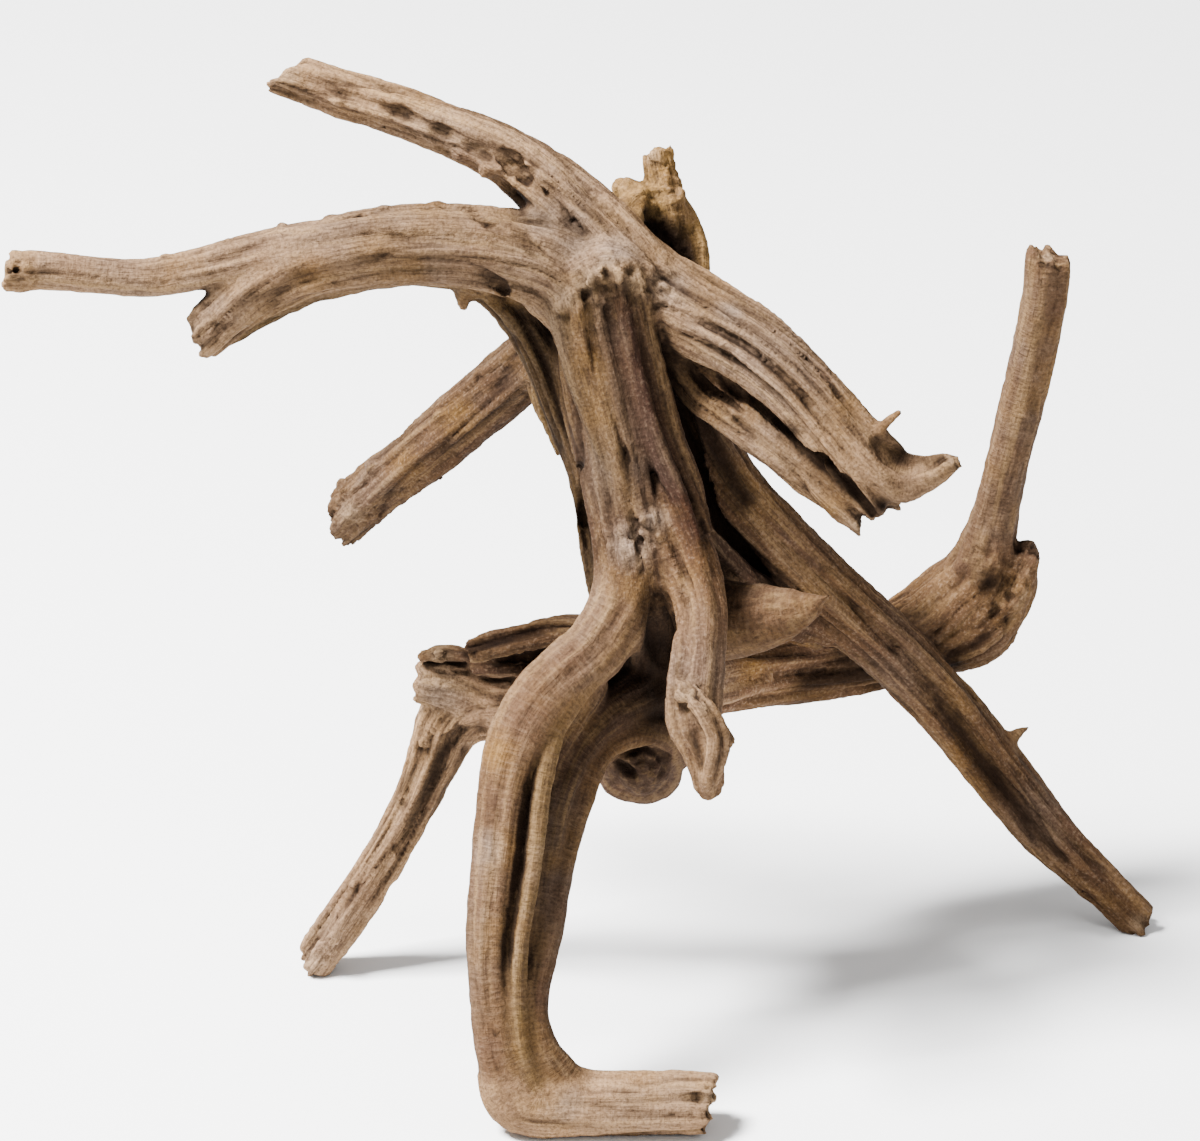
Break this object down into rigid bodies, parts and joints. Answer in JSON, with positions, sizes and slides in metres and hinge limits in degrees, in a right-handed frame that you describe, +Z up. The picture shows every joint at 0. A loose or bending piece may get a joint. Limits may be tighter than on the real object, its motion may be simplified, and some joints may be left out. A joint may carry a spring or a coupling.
{
  "type": "driftwood",
  "caption": "Gnarled branching piece of driftwood that stands on three of its limbs, a decoration for a tank or terrarium.",
  "frame": {"origin": "on the surface that the wood stands on, under the middle of its outline", "axes": "+Z up, +X along the wood's longest reach, from the thin left limb towards the diagonal right limb, -Y towards the front root"},
  "size_m": [0.2304, 0.1138, 0.1991],
  "materials": {
    "wood": "matte"
  },
  "bodies": {
    "root": {"driftwood": "wood"}
  },
  "joints": []
}
